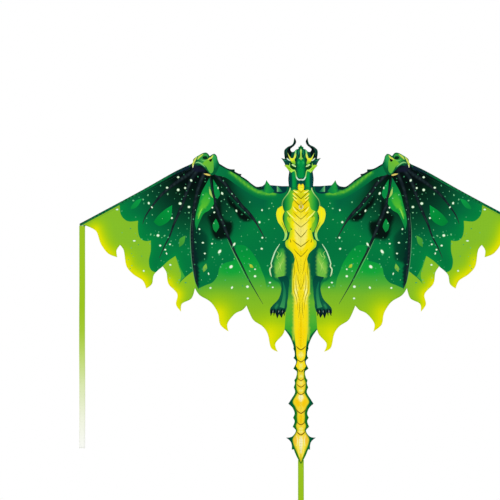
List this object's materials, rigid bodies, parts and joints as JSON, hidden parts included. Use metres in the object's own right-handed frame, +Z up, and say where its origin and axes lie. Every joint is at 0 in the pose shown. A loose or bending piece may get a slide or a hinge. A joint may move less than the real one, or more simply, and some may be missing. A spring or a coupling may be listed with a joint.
{
  "type": "dragon kite",
  "caption": "Single-line kite shaped as a winged dragon: printed sail in two folding wings, rod frame behind, jointed tail, trailing ribbons and a tow ring.",
  "frame": {"origin": "centre of the tow ring on the dragon's chest", "axes": "+Z up from tail to head, +X to the viewer's right as the printed face is seen, -Y out of the printed face; the rods are on the +Y side"},
  "size_m": [1.4014, 0.0299, 1.734],
  "materials": {
    "ripstop_green": "printed ripstop polyester, deep green",
    "ripstop_yellow": "printed ripstop polyester, belly yellow",
    "ribbon_lime": "thin ripstop ribbon, lime fading to white",
    "glass_fibre": "pultruded glass-fibre rod, black",
    "vinyl": "black moulded vinyl",
    "stopper_rubber": "dark rubber stopper ring",
    "webbing": "woven polyester webbing, green",
    "tow_webbing": "woven polyester webbing, yellow",
    "ferrule_aluminium": "drawn aluminium tube, satin",
    "steel_pin": "plain steel pin",
    "steel_ring": "polished steel ring"
  },
  "bodies": {
    "frame": {"spine_panel": "ripstop_yellow", "spine_rod_upper": "glass_fibre", "spine_rod_lower": "glass_fibre", "spine_ferrule": "ferrule_aluminium", "spine_keeper_neck": "webbing", "spine_keeper_belly": "webbing", "spine_keeper_hip": "webbing", "spine_keeper_tail": "webbing", "nose_pocket": "webbing", "tail_pocket": "webbing", "tail_link": "webbing", "hub_body": "vinyl", "hub_ring_upper": "stopper_rubber", "hub_ring_lower": "stopper_rubber", "left_hub_pin": "steel_pin", "right_hub_pin": "steel_pin", "tow_tab": "tow_webbing"},
    "left_wing": {"left_wing_panel": "ripstop_green", "left_head_panel": "ripstop_green", "left_edge_rod": "glass_fibre", "left_edge_sleeve_outer": "ripstop_green", "left_edge_sleeve_inner": "ripstop_green", "left_tip_pocket": "webbing", "left_wrist_pocket": "webbing", "left_tip_patch": "webbing", "left_spreader": "glass_fibre", "left_edge_connector": "vinyl", "left_hub_arm": "vinyl"},
    "left_ribbon": {"left_ribbon": "ribbon_lime"},
    "right_wing": {"right_wing_panel": "ripstop_green", "right_head_panel": "ripstop_green", "right_edge_rod": "glass_fibre", "right_edge_sleeve_outer": "ripstop_green", "right_edge_sleeve_inner": "ripstop_green", "right_tip_pocket": "webbing", "right_wrist_pocket": "webbing", "right_tip_patch": "webbing", "right_spreader": "glass_fibre", "right_edge_connector": "vinyl", "right_hub_arm": "vinyl"},
    "right_ribbon": {"right_ribbon": "ribbon_lime"},
    "tail": {"tail_panel": "ripstop_yellow"},
    "centre_ribbon": {"centre_ribbon": "ribbon_lime"},
    "tow_ring": {"tow_ring": "steel_ring"}
  },
  "joints": [
    {"name": "left_wing_fold", "type": "hinge", "parent": "frame", "child": "left_wing", "pos_m": [-0.01, 0.022, 0.06], "axis": [0, 0, 1], "range_deg": [-85, 0]},
    {"name": "right_wing_fold", "type": "hinge", "parent": "frame", "child": "right_wing", "pos_m": [0.01, 0.022, 0.06], "axis": [0, 0, 1], "range_deg": [0, 85]},
    {"name": "tail_swing", "type": "hinge", "parent": "frame", "child": "tail", "pos_m": [0, 0.0148, -0.527], "axis": [1, 0, 0], "range_deg": [-60, 60]},
    {"name": "left_ribbon_swing", "type": "hinge", "parent": "left_wing", "child": "left_ribbon", "pos_m": [-0.6915, 0.0148, -0.061], "axis": [1, 0, 0], "range_deg": [-60, 60]},
    {"name": "right_ribbon_swing", "type": "hinge", "parent": "right_wing", "child": "right_ribbon", "pos_m": [0.6915, 0.0148, -0.061], "axis": [1, 0, 0], "range_deg": [-60, 60]},
    {"name": "centre_ribbon_swing", "type": "hinge", "parent": "tail", "child": "centre_ribbon", "pos_m": [0, 0.0148, -0.813], "axis": [1, 0, 0], "range_deg": [-60, 60]},
    {"name": "tow_ring_swing", "type": "hinge", "parent": "frame", "child": "tow_ring", "pos_m": [0, 0, 0.006], "axis": [1, 0, 0], "range_deg": [-120, 25]}
  ]
}
